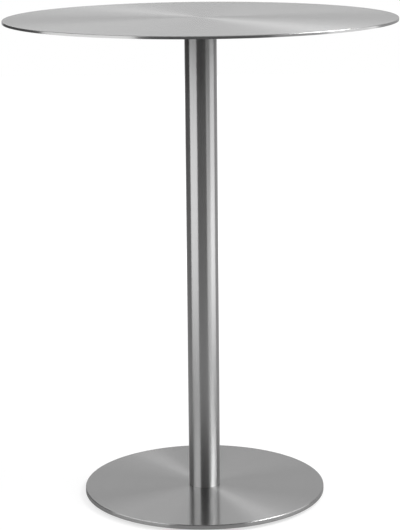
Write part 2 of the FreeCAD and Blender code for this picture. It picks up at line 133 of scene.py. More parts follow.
class BarTableSizes(bpy.types.PropertyGroup):
    """Sizes of the modelled pieces; what the frame fixes comes from the frame."""

    round_sides: count("Round sides", 256, "Sides of the large round pieces")
    flat_rings: count("Flat rings", 4, "Rings of faces on a lid's flat")
    bend_steps: count("Bend steps", 6, "Steps in a rolled sheet edge")
    sheet: length("Sheet", 0.0012, "Thickness of the steel sheet")
    top_bend: length("Top bend", 0.0018, "Outer radius of the top's rolled edge")
    base_bend: length("Base bend", 0.0020, "Outer radius of the base's rolled edge")
    edge_ring: length("Edge ring", 0.0015, "Width of the flat ring beside a rolled edge")
    middle_ring: length("Middle ring", 0.0420, "Radius of the top's innermost ring of faces")
    cover_gap: length("Cover gap", 0.0005, "Room round the boss in the base cover's hole")
    column_wall: length("Column wall", 0.0020, "Wall of the column tube")
    column_chamfer: length("Column chamfer", 0.0003, "Broken edge at the column's ends")
    hub_sides: count("Hub sides", 128, "Sides of the spider's turned hub")
    hub_chamfer: length("Hub chamfer", 0.0025, "Chamfer on the hub's lower edges")
    hub_recess_gap: length("Recess gap", 0.0025, "Room round the washer in the hub's recess")
    rod_gap: length("Rod gap", 0.0005, "Room round the tie rod in the hub's bore")
    weld_sides: count("Weld sides", 14, "Sides of a weld bead")
    weld_ripples: count("Weld ripples", 11, "Ripples along a weld bead")
    weld_radius: length("Weld radius", 0.0026, "Radius of a weld bead")
    weld_inset: length("Weld inset", 0.0006, "Where a bead stops short of its arm's edges")
    thread_steps: count("Thread steps", 24, "Steps in one turn of a thread")
    stud_radius: length("Stud radius", 0.0030, "Outer radius of a stud's thread")
    stud_pitch: length("Stud pitch", 0.0010, "Pitch of a stud's thread")
    stud_inset: length("Stud inset", 0.0380, "From the hub's side to the inner studs")
    foot_sides: count("Foot sides", 64, "Sides of a levelling screw's disc and neck")
    foot_radius: length("Foot thread radius", 0.0050, "Outer radius of a levelling screw's thread")
    foot_pitch: length("Foot thread pitch", 0.0015, "Pitch of a levelling screw's thread")
    foot_hex: length("Foot hexagon", 0.0170, "Width of a levelling screw's hexagon across its flats")
    foot_hex_height: length("Hexagon height", 0.0022, "Height of a levelling screw's hexagon")
    foot_hex_lift: length("Hexagon lift", 0.0003, "From the pad to the hexagon above it")
    foot_hex_chamfer: length("Hexagon chamfer", 0.0004, "Broken edges of a levelling screw's hexagon")
    foot_disc: length("Foot disc", 0.0055, "Radius of the disc that swivels in the pad")
    foot_disc_height: length("Disc height", 0.0011, "Height of the disc that swivels in the pad")
    foot_neck: length("Foot neck", 0.0035, "Radius of the neck above the swivel disc")


class BarTableFinish(bpy.types.PropertyGroup):
    """Colours of the finishes."""

    steel: colour("Steel", (0.54, 0.54, 0.54), "Brushed stainless steel")
    coating: colour("Coating", (0.030, 0.030, 0.032), "Black powder coat")
    coating_worn: colour("Worn coating", (0.085, 0.085, 0.085), "Powder coat where its edges are rubbed")
    board: colour("Board", (0.055, 0.053, 0.050), "Sealed backing board")
    board_fleck: colour("Board fleck", (0.110, 0.105, 0.098), "Flecks and edges of the backing board")
    zinc: colour("Zinc", (0.58, 0.60, 0.63), "Zinc plate on fixings")
    zinc_warm: colour("Warm zinc", (0.66, 0.64, 0.58), "Zinc plate where it is rubbed or passivated")
    oxide: colour("Oxide", (0.045, 0.044, 0.043), "Blackened screws")
    oxide_worn: colour("Worn oxide", (0.16, 0.15, 0.14), "Blackened screws where their edges are rubbed")
    nylon: colour("Nylon", (0.022, 0.022, 0.023), "Foot pads")
    nylon_worn: colour("Worn nylon", (0.050, 0.050, 0.050), "Foot pads where their edges are scuffed")


class BarTableStage(bpy.types.PropertyGroup):
    """Where the camera stands and how the studio looks."""

    camera_distance: length("Camera distance", 3.8925, "From the table's axis")
    camera_height: length("Camera height", 1.4033, "Above the floor")
    camera_pitch: angle("Camera pitch", 0.22213, "How far it looks down")
    camera_turn: angle("Camera turn", 0.00149, "How far it looks to the left")
    camera_roll: angle("Camera roll", 0.0098, "How far it leans to the right")
    lens: amount("Lens", 122.39, "Focal length, in millimetres")
    sensor: amount("Sensor", 36.0, "Longer side of the camera's sensor, in millimetres")
    room: amount("Room", 0.03, "Brightness of the room between the lamps")
    reflected: amount("Reflected", 0.03, "Share of the white surround that metal reflects")
    fill: amount("Fill", 0.30, "Share of the white surround that lights matt surfaces")
    floor: colour("Floor", (0.36, 0.36, 0.36), "Studio floor")
    floor_roughness: amount("Floor roughness", 0.9, "How matt the floor is")
    floor_size: length("Floor size", 16.0, "Length of the floor's sides")
    floor_drop: length("Floor drop", 0.0002, "How far the floor lies under the pads")
    floor_glow: amount("Floor glow", 0.68, "What lifts the floor beside the table to white")
    white_start: length("White from", 0.6, "Where the floor starts to fade into the white")
    white_end: length("White at", 2.4, "Where the floor is as white as the surround")


# Modelling steps


def deselect_everything():
    bpy.ops.object.select_all(action="DESELECT")


def only(piece):
    """Make a piece the one that is selected."""
    deselect_everything()
    piece.select_set(True)
    bpy.context.view_layer.objects.active = piece


def rename(piece, name):
    piece.name = name
    piece.data.name = name
    return piece


def start_cylinder(name, radius, bottom, top, sides, ends="NGON"):
    """An upright cylinder on the table's axis, with its place in its mesh."""
    deselect_everything()
    bpy.ops.mesh.primitive_cylinder_add(
        vertices=sides,
        radius=radius,
        depth=top - bottom,
        end_fill_type=ends,
        location=(0.0, 0.0, (top + bottom) / 2),
    )
    bpy.ops.object.transform_apply(location=True, rotation=False, scale=False)
    return rename(bpy.context.object, name)


def edit():
    bpy.ops.object.mode_set(mode="EDIT")


def stop_editing():
    bpy.ops.object.mode_set(mode="OBJECT")


def select_all():
    bpy.ops.mesh.select_all(action="SELECT")


def pick(piece, kind, wanted):
    """Select the faces or edges of a piece in edit mode that are wanted."""
    bpy.ops.mesh.select_mode(type=kind)
    bpy.ops.mesh.select_all(action="DESELECT")
    mesh = bmesh.from_edit_mesh(piece.data)
    for element in mesh.faces if kind == "FACE" else mesh.edges:
        if wanted(element):
            element.select_set(True)
    mesh.select_flush_mode()
    bmesh.update_edit_mesh(piece.data)


def at_height(*heights):
    """Test for an element whose points all lie at one of the heights."""

    def wanted(element):
        return any(all(abs(vert.co.z - height) < TOUCH for vert in element.verts) for height in heights)

    return wanted


def on_rim(radius, *heights):
    """Test for an edge of a circle of one radius at one of the heights."""

    def wanted(edge):
        at_radius = all(abs(vert.co.xy.length - radius) < RIM_TOUCH for vert in edge.verts)
        return at_radius and at_height(*heights)(edge)

    return wanted


def extrude(*offset):
    """Pull the selected faces or points out by an offset."""
    bpy.ops.mesh.extrude_region_move(TRANSFORM_OT_translate={"value": offset})


def face_outwards():
    select_all()
    bpy.ops.mesh.normals_make_consistent(inside=False)


def thicken(piece, wall):
    """Give an open shell a wall on its inner side."""
    solidify = piece.modifiers.new("Wall", "SOLIDIFY")
    solidify.thickness = wall
    solidify.offset = -1.0
    solidify.use_even_offset = True
    bpy.ops.object.modifier_apply(modifier=solidify.name)


def melt_together(piece, *others):
    """Make one solid of a piece and others that reach into it."""
    for other in others:
        only(piece)
        union = piece.modifiers.new("Union", "BOOLEAN")
        union.operation = "UNION"
        union.solver = "EXACT"
        union.object = other
        bpy.ops.object.modifier_apply(modifier=union.name)
        bpy.data.objects.remove(other)
    return piece


def shift(offset):
    """Move the selected piece, with its new place in its mesh."""
    bpy.ops.transform.translate(value=offset)
    bpy.ops.object.transform_apply(location=True, rotation=False, scale=False)


def copy_at(first, name, offset):
    """A copy of a piece, with its own mesh, moved by an offset."""
    only(first)
    bpy.ops.object.duplicate(linked=False)
    shift(offset)
    return rename(bpy.context.object, name)


def copies_joined(first, name, offsets):
    """Copies of a piece at each offset, joined to one group of separate solids."""
    twins = [copy_at(first, name, offset) for offset in offsets]
    bpy.data.objects.remove(first)
    only(twins[0])
    for twin in twins:
        twin.select_set(True)
    bpy.ops.object.join()
    return rename(bpy.context.object, name)


def round_the_axis(point):
    """A point's places on all arms of the spider."""
    return [Matrix.Rotation(arm * 2 * math.pi / ARMS, 3, "Z") @ point for arm in range(ARMS)]


def finish_piece(piece, material, slot, *nodes, body=BODY):
    """Shade a finished piece, give it its material and let it stand for its nodes."""
    only(piece)
    bpy.ops.object.shade_smooth_by_angle(angle=SMOOTH_ANGLE)
    piece.data.materials.clear()
    piece.data.materials.append(material)
    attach(piece, body)
    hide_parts(*nodes)
    deselect_everything()


def model_lid(name, node, bend, sizes, hole=None):
    """A pressed lid: a flat disc with a rolled edge and a turned-down rim, with a hole where asked."""
    radius = round_reach(node)
    bottom, top = level(node, 0), level(node, 1)
    lid = start_cylinder(name, radius, bottom, top, sizes.round_sides)
    edit()
    pick(lid, "FACE", at_height(bottom))
    bpy.ops.mesh.delete(type="ONLY_FACE")
    pick(lid, "EDGE", at_height(top))
    bpy.ops.mesh.bevel(offset=bend, segments=sizes.bend_steps, profile=ROUND_PROFILE, affect="EDGES")
    pick(lid, "FACE", lambda face: face.normal.z > FLAT)
    bpy.ops.mesh.inset(thickness=sizes.edge_ring)
    flat_width = radius - bend - sizes.edge_ring - (hole or sizes.middle_ring)
    for _ in range(sizes.flat_rings):
        bpy.ops.mesh.inset(thickness=flat_width / sizes.flat_rings)
    if hole:
        bpy.ops.mesh.delete(type="ONLY_FACE")
    else:
        bpy.ops.mesh.poke()
    stop_editing()
    thicken(lid, sizes.sheet)
    return lid


def model_thread(name, radius, pitch, bottom, top, steps):
    """A threaded rod on the axis: a tooth's profile wound up round it and cut off flat at both ends."""
    depth = pitch * THREAD_DEPTH_SHARE
    flank = pitch * (1.0 - THREAD_ROOT_SHARE - THREAD_CREST_SHARE) / 2
    deselect_everything()
    bpy.ops.mesh.primitive_plane_add(size=pitch)
    rod = rename(bpy.context.object, name)
    edit()
    bpy.ops.mesh.select_mode(type="VERT")
    select_all()
    bpy.ops.mesh.merge(type="CENTER")
    bpy.ops.transform.translate(value=(radius - depth, 0.0, bottom - pitch * THREAD_LEAD))
    extrude(0.0, 0.0, pitch * THREAD_ROOT_SHARE)
    extrude(depth, 0.0, flank)
    extrude(0.0, 0.0, pitch * THREAD_CREST_SHARE)
    extrude(-depth, 0.0, flank)
    stop_editing()
    winding = rod.modifiers.new("Thread", "SCREW")
    winding.screw_offset = pitch
    winding.iterations = math.ceil((top - bottom) / pitch) + math.ceil(THREAD_LEAD)
    winding.steps = steps
    winding.render_steps = steps
    bpy.ops.object.modifier_apply(modifier=winding.name)
    edit()
    select_all()
    bpy.ops.mesh.remove_doubles(threshold=MERGE)
    for height, is_top in ((bottom, False), (top, True)):
        select_all()
        bpy.ops.mesh.bisect(
            plane_co=(0.0, 0.0, height),
            plane_no=UP,
            use_fill=True,
            clear_inner=not is_top,
            clear_outer=is_top,
            threshold=MERGE,
        )
    face_outwards()
    stop_editing()
    return rod


# Materials


class Strokes(NamedTuple):
    """A layer of brush marks: its share of the density and how often it breaks off round the axis."""

    name: str
    density_share: float
    breaks: float


class Brushing(NamedTuple):
    """How a brushed piece looks: gloss, its stretch, and the contrast and relief of the lines."""

    roughness: float
    anisotropy: float
    contrast: float
    relief: float


class Grain(NamedTuple):
    """How a grained finish looks: gloss, metal or not, grains to the metre, their depth and the worn edge."""

    roughness: float
    metallic: float
    scale: float
    depth: float
    edge: float


TOP_BRUSHING = Brushing(roughness=0.26, anisotropy=0.85, contrast=0.10, relief=0.01)
COLUMN_BRUSHING = Brushing(roughness=0.28, anisotropy=1.0, contrast=0.04, relief=0.001)
BASE_BRUSHING = Brushing(roughness=0.21, anisotropy=1.0, contrast=0.10, relief=0.01)
POWDER_GRAIN = Grain(roughness=0.46, metallic=0.0, scale=1400.0, depth=0.0004, edge=0.0008)
BOARD_GRAIN = Grain(roughness=0.55, metallic=0.0, scale=700.0, depth=0.0002, edge=0.0010)
ZINC_GRAIN = Grain(roughness=0.34, metallic=1.0, scale=2200.0, depth=0.0001, edge=0.0004)
OXIDE_GRAIN = Grain(roughness=0.40, metallic=1.0, scale=2600.0, depth=0.0001, edge=0.0004)
NYLON_GRAIN = Grain(roughness=0.52, metallic=0.0, scale=1800.0, depth=0.0003, edge=0.0006)

# Brush marks: fine lines, broader bands and a haze
STROKES = (
    Strokes("Lines", density_share=1.0, breaks=5.0),
    Strokes("Bands", density_share=0.12, breaks=1.5),
)
BRUSH_DENSITY = 2500.0
BRUSH_DEPTH = 0.0002
STROKE_DETAIL = 2.0
LINE_SHARE = 0.65
HAZE_SCALE = 7.0
HAZE_DETAIL = 3.0
# How far bands and haze change the roughness, as shares of the lines' contrast
SMOOTHER_SHARE = 0.2
ROUGHER_SHARE = 0.1
HAZE_SHARE = 0.1

# Grain, its broad mottle and the worn edges
GRAIN_DETAIL = 3.0
GRAIN_CONTRAST = 0.22
GRAIN_RELIEF = 0.4
MOTTLE_SCALE_SHARE = 0.08
MOTTLE_DETAIL = 2.0
MOTTLE_RANGE = (0.3, 0.7)
MOTTLE_SHARE = 0.25
MOTTLE_ROUGHNESS = 0.05
WEAR_RANGE = (0.80, 0.99)
WEAR_POLISH = 0.1


def feed(tree, target, source):
    """Link a socket to another, or set its value."""
    if isinstance(source, bpy.types.NodeSocket):
        tree.links.new(source, target)
    else:
        target.default_value = source


def calculate(tree, operation, *values):
    """A Math node's result."""
    node = tree.nodes.new("ShaderNodeMath")
    node.operation = operation
    for target, value in zip(node.inputs, values):
        feed(tree, target, value)
    return node.outputs["Value"]


def combine(tree, operation, *values, result="Vector"):
    """A Vector Math node's result."""
    node = tree.nodes.new("ShaderNodeVectorMath")
    node.operation = operation
    for target, value in zip(node.inputs, values):
        feed(tree, target, value)
    return node.outputs[result]


def spread(tree, value, low, high, start=0.0, end=1.0, smooth=False):
    """A value between start and end spread between two others."""
    node = tree.nodes.new("ShaderNodeMapRange")
    node.interpolation_type = "SMOOTHSTEP" if smooth else "LINEAR"
    sources = {"Value": value, "From Min": start, "From Max": end, "To Min": low, "To Max": high}
    for name, source in sources.items():
        feed(tree, node.inputs[name], source)
    return node.outputs["Result"]


def noise(tree, vector, scale, detail):
    node = tree.nodes.new("ShaderNodeTexNoise")
    feed(tree, node.inputs["Vector"], vector)
    feed(tree, node.inputs["Scale"], scale)
    feed(tree, node.inputs["Detail"], detail)
    return node.outputs["Fac"]


def blend_colours(tree, share, first, second):
    node = tree.nodes.new("ShaderNodeMix")
    node.data_type = "RGBA"
    feed(tree, node.inputs["Factor"], share)
    for target, source in (("A", first), ("B", second)):
        is_socket = isinstance(source, bpy.types.NodeSocket)
        feed(tree, node.inputs[target], source if is_socket else (*source, 1.0))
    return node.outputs["Result"]


def shade_of(tone, share):
    """A colour made darker or lighter by a share."""
    return tuple(part * share for part in tone)


def raise_bumps(tree, shader, height, strength, distance):
    bump = tree.nodes.new("ShaderNodeBump")
    bump.inputs["Strength"].default_value = strength
    bump.inputs["Distance"].default_value = distance
    feed(tree, bump.inputs["Height"], height)
    feed(tree, shader.inputs["Normal"], bump.outputs["Normal"])


def new_material(name):
    """A new material, its nodes, its Principled shader and the Object coordinates."""
    material = bpy.data.materials.new(name)
    material.use_nodes = True
    tree = material.node_tree
    point = tree.nodes.new("ShaderNodeTexCoord").outputs["Object"]
    return material, tree, tree.nodes["Principled BSDF"], point


def new_group(name, inputs, outputs):
    """A new node group, with its inputs and outputs."""
    tree = bpy.data.node_groups.new(name, "ShaderNodeTree")
    for socket, kind in inputs.items():
        tree.interface.new_socket(socket, in_out="INPUT", socket_type=f"NodeSocket{kind}")
    for socket in outputs:
        tree.interface.new_socket(socket, in_out="OUTPUT", socket_type="NodeSocketFloat")
    return tree, tree.nodes.new("NodeGroupInput").outputs, tree.nodes.new("NodeGroupOutput").inputs


def place_group(tree, make_group, **inputs):
    """Put a shared effect, made on its first use, in a material with its own values."""
    name = make_group.__name__
    node = tree.nodes.new("ShaderNodeGroup")
    node.node_tree = bpy.data.node_groups.get(name) or make_group(name)
    for socket, value in inputs.items():
        feed(tree, node.inputs[socket], value)
    return node.outputs


def brushed_rings(name):
    """Fine lines left by a brush that went round the table's axis, on flats, rims and tubes alike."""
    inputs = {"Point": "Vector", "Density": "Float"}
    tree, given, results = new_group(name, inputs, ("Lines", "Bands", "Haze"))
    flat = combine(tree, "MULTIPLY", given["Point"], (1.0, 1.0, 0.0))
    around = combine(tree, "NORMALIZE", flat)
    parts = tree.nodes.new("ShaderNodeSeparateXYZ")
    feed(tree, parts.inputs["Vector"], given["Point"])
    across = calculate(tree, "SUBTRACT", combine(tree, "LENGTH", flat, result="Value"), parts.outputs["Z"])
    for strokes in STROKES:
        lift = tree.nodes.new("ShaderNodeCombineXYZ")
        density = calculate(tree, "MULTIPLY", given["Density"], strokes.density_share)
        feed(tree, lift.inputs["Z"], calculate(tree, "MULTIPLY", across, density))
        turn = combine(tree, "MULTIPLY", around, (strokes.breaks, strokes.breaks, 0.0))
        place = combine(tree, "ADD", turn, lift.outputs["Vector"])
        feed(tree, results[strokes.name], noise(tree, place, 1.0, STROKE_DETAIL))
    feed(tree, results["Haze"], noise(tree, given["Point"], HAZE_SCALE, HAZE_DETAIL))
    return tree


def fine_grain(name):
    """A fine grain and a broad mottle, for coatings, plating, board and moulded plastic."""
    tree, given, results = new_group(name, {"Point": "Vector", "Scale": "Float"}, ("Grain", "Mottle"))
    feed(tree, results["Grain"], noise(tree, given["Point"], given["Scale"], GRAIN_DETAIL))
    broad = calculate(tree, "MULTIPLY", given["Scale"], MOTTLE_SCALE_SHARE)
    mottle = noise(tree, given["Point"], broad, MOTTLE_DETAIL)
    feed(tree, results["Mottle"], spread(tree, mottle, 0.0, 1.0, *MOTTLE_RANGE))
    return tree


def edge_wear(name):
    """A mask of the edges, where handling rubs a finish thin."""
    tree, given, results = new_group(name, {"Width": "Float", "Grain": "Float"}, ("Wear",))
    rounded = tree.nodes.new("ShaderNodeBevel")
    feed(tree, rounded.inputs["Radius"], given["Width"])
    surface = tree.nodes.new("ShaderNodeNewGeometry").outputs["Normal"]
    agreement = combine(tree, "DOT_PRODUCT", rounded.outputs["Normal"], surface, result="Value")
    worn = spread(tree, agreement, 1.0, 0.0, *WEAR_RANGE)
    feed(tree, results["Wear"], calculate(tree, "MULTIPLY", worn, given["Grain"]))
    return tree


def brushed_steel(name, tone, brushing):
    """Stainless steel brushed round the axis: gloss spreads square to the brush lines."""
    material, tree, shader, point = new_material(name)
    contrast = brushing.contrast
    rings = place_group(tree, brushed_rings, Point=point, Density=BRUSH_DENSITY)
    lines = calculate(tree, "MULTIPLY", rings["Lines"], LINE_SHARE)
    brushed = calculate(tree, "MULTIPLY_ADD", rings["Bands"], 1.0 - LINE_SHARE, lines)
    lined = blend_colours(tree, brushed, shade_of(tone, 1.0 - contrast), shade_of(tone, 1.0 + contrast))
    feed(tree, shader.inputs["Base Color"], lined)
    smoothest = brushing.roughness - SMOOTHER_SHARE * contrast
    roughest = brushing.roughness + ROUGHER_SHARE * contrast
    banded = spread(tree, rings["Bands"], smoothest, roughest)
    hazed = calculate(tree, "MULTIPLY_ADD", rings["Haze"], HAZE_SHARE * contrast, banded)
    feed(tree, shader.inputs["Roughness"], hazed)
    shader.inputs["Metallic"].default_value = 1.0
    shader.inputs["Anisotropic"].default_value = brushing.anisotropy
    surface = tree.nodes.new("ShaderNodeNewGeometry").outputs["Normal"]
    along_brush = combine(tree, "CROSS_PRODUCT", UP, point)
    across_brush = combine(tree, "NORMALIZE", combine(tree, "CROSS_PRODUCT", surface, along_brush))
    feed(tree, shader.inputs["Tangent"], across_brush)
    raise_bumps(tree, shader, rings["Lines"], brushing.relief, BRUSH_DEPTH)
    return material


def grained(name, tone, worn, grain):
    """A finish with a fine even grain, mottled a little and rubbed along its edges."""
    if name in bpy.data.materials:
        return bpy.data.materials[name]
    material, tree, shader, point = new_material(name)
    speckle = place_group(tree, fine_grain, Point=point, Scale=grain.scale)
    wear = place_group(tree, edge_wear, Width=grain.edge, Grain=speckle["Grain"])
    darker, lighter = shade_of(tone, 1.0 - GRAIN_CONTRAST), shade_of(tone, 1.0 + GRAIN_CONTRAST)
    body = blend_colours(tree, speckle["Grain"], darker, lighter)
    mottled = blend_colours(tree, calculate(tree, "MULTIPLY", speckle["Mottle"], MOTTLE_SHARE), body, worn)
    feed(tree, shader.inputs["Base Color"], blend_colours(tree, wear["Wear"], mottled, worn))
    smoothest, roughest = grain.roughness - MOTTLE_ROUGHNESS, grain.roughness + MOTTLE_ROUGHNESS
    dulled = spread(tree, speckle["Mottle"], smoothest, roughest)
    polished = calculate(tree, "MULTIPLY_ADD", wear["Wear"], -WEAR_POLISH, dulled)
    feed(tree, shader.inputs["Roughness"], polished)
    shader.inputs["Metallic"].default_value = grain.metallic
    raise_bumps(tree, shader, speckle["Grain"], GRAIN_RELIEF, grain.depth)
    return material


def powder_coat(finish):
    return grained("Powder coat", finish.coating, finish.coating_worn, POWDER_GRAIN)


def sealed_board(finish):
    return grained("Sealed board", finish.board, finish.board_fleck, BOARD_GRAIN)


def zinc_plate(finish):
    return grained("Zinc plate", finish.zinc, finish.zinc_warm, ZINC_GRAIN)


def black_oxide(finish):
    return grained("Black oxide", finish.oxide, finish.oxide_worn, OXIDE_GRAIN)


def moulded_nylon(finish):
    return grained("Moulded nylon", finish.nylon, finish.nylon_worn, NYLON_GRAIN)


# Pieces


class BARTABLE_OT_add_top(bpy.types.Operator):
    """Model the sheet-steel top with its rolled rim"""

    bl_idname = "bar_table.add_top"
    bl_label = "Add top"

    def execute(self, context):
        sizes = context.scene.bar_table_sizes
        top = model_lid("brushed_top_skin", "top_skin", sizes.top_bend, sizes)
        steel = brushed_steel("Brushed top", context.scene.bar_table_finish.steel, TOP_BRUSHING)
        finish_piece(top, steel, "brushed_top", "top_skin")
        return {"FINISHED"}


class BARTABLE_OT_add_column(bpy.types.Operator):
    """Model the column tube"""

    bl_idname = "bar_table.add_column"
    bl_label = "Add column"

    def execute(self, context):
        sizes = context.scene.bar_table_sizes
        radius = reach("column_tube")
        ends = level("column_tube", 0), level("column_tube", 1)
        tube = start_cylinder("brushed_column_tube", radius, *ends, sizes.round_sides, ends="NOTHING")
        thicken(tube, sizes.column_wall)
        edit()
        pick(tube, "EDGE", on_rim(radius, *ends))
        bpy.ops.mesh.bevel(offset=sizes.column_chamfer, segments=BROKEN_EDGE_STEPS, affect="EDGES")
        stop_editing()
        steel = brushed_steel("Brushed column", context.scene.bar_table_finish.steel, COLUMN_BRUSHING)
        finish_piece(tube, steel, "brushed_column", "column_tube")
        return {"FINISHED"}


class BARTABLE_OT_add_base(bpy.types.Operator):
    """Model the base's sheet-steel cover with its rolled rim"""

    bl_idname = "bar_table.add_base"
    bl_label = "Add base"

    def execute(self, context):
        sizes = context.scene.bar_table_sizes
        hole = reach("column_boss") + sizes.cover_gap
        cover = model_lid("brushed_base_cover", "base_cover", sizes.base_bend, sizes, hole)
        steel = brushed_steel("Brushed base", context.scene.bar_table_finish.steel, BASE_BRUSHING)
        finish_piece(cover, steel, "brushed_base", "base_cover")
        return {"FINISHED"}


class BARTABLE_OT_add_hub(bpy.types.Operator):
    """Model the spider's turned hub, with its spigot, recess and bore"""

    bl_idname = "bar_table.add_hub"
    bl_label = "Add hub"

    def execute(self, context):
        sizes = context.scene.bar_table_sizes
        radius, spigot = reach("spider_hub"), reach("column_boss")
        recess = reach("tie_rod_washer") + sizes.hub_recess_gap
        bore = reach("tie_rod") + sizes.rod_gap
        spigot_end, top = level("spider_hub", 0), level("spider_hub", 1)
        seat, recess_floor = level("column_tube", 1), level("tie_rod_washer", 0)
        hub = start_cylinder("turned_spider_hub", radius, seat, top, sizes.hub_sides)
        edit()
        for start, step, end in ((seat, spigot, spigot_end), (top, recess, recess_floor)):
            pick(hub, "FACE", at_height(start))
            bpy.ops.mesh.inset(thickness=radius - step)
            extrude(0.0, 0.0, end - start)
            bpy.ops.mesh.inset(thickness=step - bore)
            bpy.ops.mesh.delete(type="ONLY_FACE")
        pick(hub, "EDGE", on_rim(bore, spigot_end, recess_floor))
        bpy.ops.mesh.bridge_edge_loops()
        for rim in (on_rim(radius, seat), on_rim(spigot, spigot_end)):
            pick(hub, "EDGE", rim)
            bpy.ops.mesh.bevel(offset=sizes.hub_chamfer, segments=1, affect="EDGES")
        face_outwards()
        stop_editing()
        finish_piece(hub, powder_coat(context.scene.bar_table_finish), "black_coating", "spider_hub")
        return {"FINISHED"}


class BARTABLE_OT_add_welds(bpy.types.Operator):
    """Model the rippled weld beads that hold the arms to the hub"""

    bl_idname = "bar_table.add_welds"
    bl_label = "Add welds"

    def execute(self, context):
        sizes = context.scene.bar_table_sizes
        low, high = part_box("spider_arm_right")
        bottom, top = low.z + sizes.weld_inset, high.z - sizes.weld_inset
        bead = start_cylinder("weld_bead", sizes.weld_radius, bottom, top, sizes.weld_sides)
        rings = 2 * sizes.weld_ripples
        edit()
        pick(bead, "EDGE", lambda edge: not at_height(bottom, top)(edge))
        bpy.ops.mesh.subdivide(number_cuts=rings - 1)
        necks = (bottom + (top - bottom) * ring / rings for ring in range(0, rings + 1, 2))
        pick(bead, "EDGE", at_height(*necks))
        bpy.ops.transform.resize(value=(WELD_NECK_SHARE, WELD_NECK_SHARE, 1.0), center_override=ORIGIN)
        stop_editing()
        corner = Vector((low.x, high.y, 0.0))
        outward = (corner.normalized() + Vector((0.0, 1.0, 0.0))).normalized()
        seam = corner + outward * sizes.weld_radius * WELD_PROUD_SHARE
        places = round_the_axis(seam) + round_the_axis(Vector((seam.x, -seam.y, 0.0)))
        welds = copies_joined(bead, "spider_welds", places)
        finish_piece(welds, powder_coat(context.scene.bar_table_finish), "black_coating")
        return {"FINISHED"}


class BARTABLE_OT_add_studs(bpy.types.Operator):
    """Model the threaded studs that hold the arms to the top"""

    bl_idname = "bar_table.add_studs"
    bl_label = "Add studs"

    def execute(self, context):
        sizes = context.scene.bar_table_sizes
        ends = level("top_studs", 0), level("top_studs", 1)
        stud = model_thread("stud", sizes.stud_radius, sizes.stud_pitch, *ends, sizes.thread_steps)
        outer = Vector((reach("top_studs") - sizes.stud_radius, 0.0, 0.0))
        inner = Vector((reach("spider_hub") + sizes.stud_inset, 0.0, 0.0))
        studs = copies_joined(stud, "threaded_top_studs", round_the_axis(outer) + round_the_axis(inner))
        finish_piece(studs, zinc_plate(context.scene.bar_table_finish), "zinc_fixings", "top_studs")
        return {"FINISHED"}


class BARTABLE_OT_add_feet(bpy.types.Operator):
    """Model the levelling screws: swivel disc, neck, hexagon and thread"""

    bl_idname = "bar_table.add_feet"
    bl_label = "Add feet"

    def execute(self, context):
        sizes = context.scene.bar_table_sizes
        first_node = f"foot_screw_{FOOT_SIDES[0]}"
        bottom, top = level(first_node, 0), level(first_node, 1)
        disc_top = bottom + sizes.foot_disc_height
        hex_under = level(f"foot_pad_{FOOT_SIDES[0]}", 1) + sizes.foot_hex_lift
        hex_top = hex_under + sizes.foot_hex_height
        hex_middle = (hex_under + hex_top) / 2
        screw = start_cylinder("levelling_screw", sizes.foot_disc, bottom, disc_top, sizes.foot_sides)
        edit()
        pick(screw, "FACE", at_height(disc_top))
        bpy.ops.mesh.inset(thickness=sizes.foot_disc - sizes.foot_neck)
        extrude(0.0, 0.0, hex_middle - disc_top)
        stop_editing()
        hex_corner = sizes.foot_hex / math.sqrt(3)
        hexagon = start_cylinder("foot_hexagon", hex_corner, hex_under, hex_top, HEX_SIDES)
        edit()
        select_all()
        bpy.ops.transform.rotate(value=math.pi / HEX_SIDES, orient_axis="Z", center_override=ORIGIN)
        pick(hexagon, "EDGE", at_height(hex_under, hex_top))
        bpy.ops.mesh.bevel(offset=sizes.foot_hex_chamfer, segments=BROKEN_EDGE_STEPS, affect="EDGES")
        stop_editing()
        winding = sizes.foot_radius, sizes.foot_pitch
        thread = model_thread("foot_thread", *winding, hex_middle, top, sizes.thread_steps)
        melt_together(screw, hexagon, thread)
        zinc = zinc_plate(context.scene.bar_table_finish)
        for side in FOOT_SIDES:
            node = f"foot_screw_{side}"
            low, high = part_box(node)
            place = ((low.x + high.x) / 2, (low.y + high.y) / 2, 0.0)
            twin = copy_at(screw, f"levelling_screw_{side}", place)
            finish_piece(twin, zinc, "zinc_fixings", node, body=node)
        bpy.data.objects.remove(screw)
        return {"FINISHED"}


class BARTABLE_OT_finish_fittings(bpy.types.Operator):
    """Give the frame's own pieces their finishes"""

    bl_idname = "bar_table.finish_fittings"
    bl_label = "Finish fittings"

    def execute(self, context):
        finish = context.scene.bar_table_finish
        finishes = {
            "black_coating": powder_coat(finish),
            "backing_board": sealed_board(finish),
            "zinc_fixings": zinc_plate(finish),
            "black_screws": black_oxide(finish),
            "pad_nylon": moulded_nylon(finish),
        }
        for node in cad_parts.values():
            slot = node.data.materials[0].name
            if slot in finishes:
                node.data.materials[0] = finishes[slot]
        return {"FINISHED"}


# Stage


class Softbox(NamedTuple):
    """A lamp behind a diffuser: its place, its size and the height on the table's axis that it points to.

    The bearing is in degrees from the camera's side towards the right. Without an aim it points level.
    """

    name: str
    bearing: float
    distance: float
    height: float
    wide: float
    high: float
    brightness: float
    aim: float | None = None


